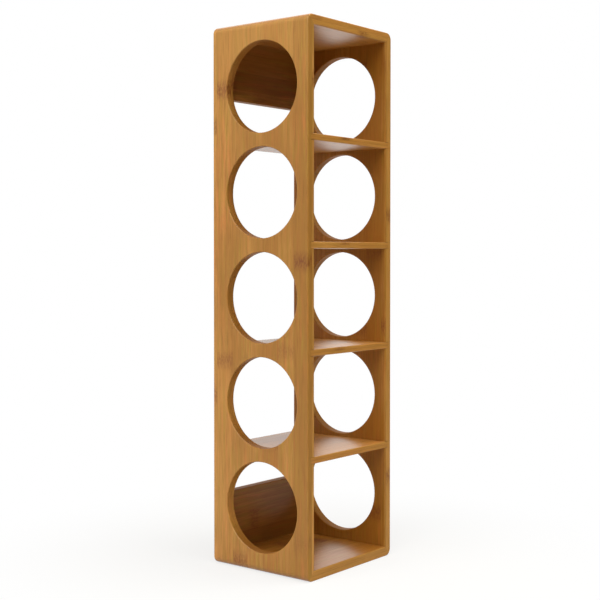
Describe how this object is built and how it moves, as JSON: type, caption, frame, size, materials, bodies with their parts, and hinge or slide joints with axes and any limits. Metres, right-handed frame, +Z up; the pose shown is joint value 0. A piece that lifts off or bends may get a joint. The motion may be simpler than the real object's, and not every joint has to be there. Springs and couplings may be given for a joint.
{
  "type": "wine rack",
  "caption": "Slim upright bamboo wine rack: mitred box frame, round bottle holes through both side panels, thin housed shelves and rails across the back.",
  "frame": {"origin": "middle of the footprint, on the floor", "axes": "+Z up, X along the bottles from side panel to side panel, -Y the open front, +Y the wall side"},
  "size_m": [0.1386, 0.1216, 0.54],
  "materials": {
    "bamboo_frame": "satin caramel bamboo",
    "bamboo_shelf": "satin caramel bamboo",
    "bamboo_rail": "satin caramel bamboo",
    "joinery_wood": "bare wood, glued"
  },
  "bodies": {
    "root": {"left_side_panel": "bamboo_frame", "right_side_panel": "bamboo_frame", "top_board": "bamboo_frame", "bottom_board": "bamboo_frame", "shelf_1": "bamboo_shelf", "shelf_2": "bamboo_shelf", "shelf_3": "bamboo_shelf", "shelf_4": "bamboo_shelf", "upper_back_rail": "bamboo_rail", "lower_back_rail": "bamboo_rail", "top_left_mitre_spline": "joinery_wood", "top_right_mitre_spline": "joinery_wood", "bottom_left_mitre_spline": "joinery_wood", "bottom_right_mitre_spline": "joinery_wood", "upper_rail_dowels": "joinery_wood", "lower_rail_dowels": "joinery_wood"}
  },
  "joints": []
}
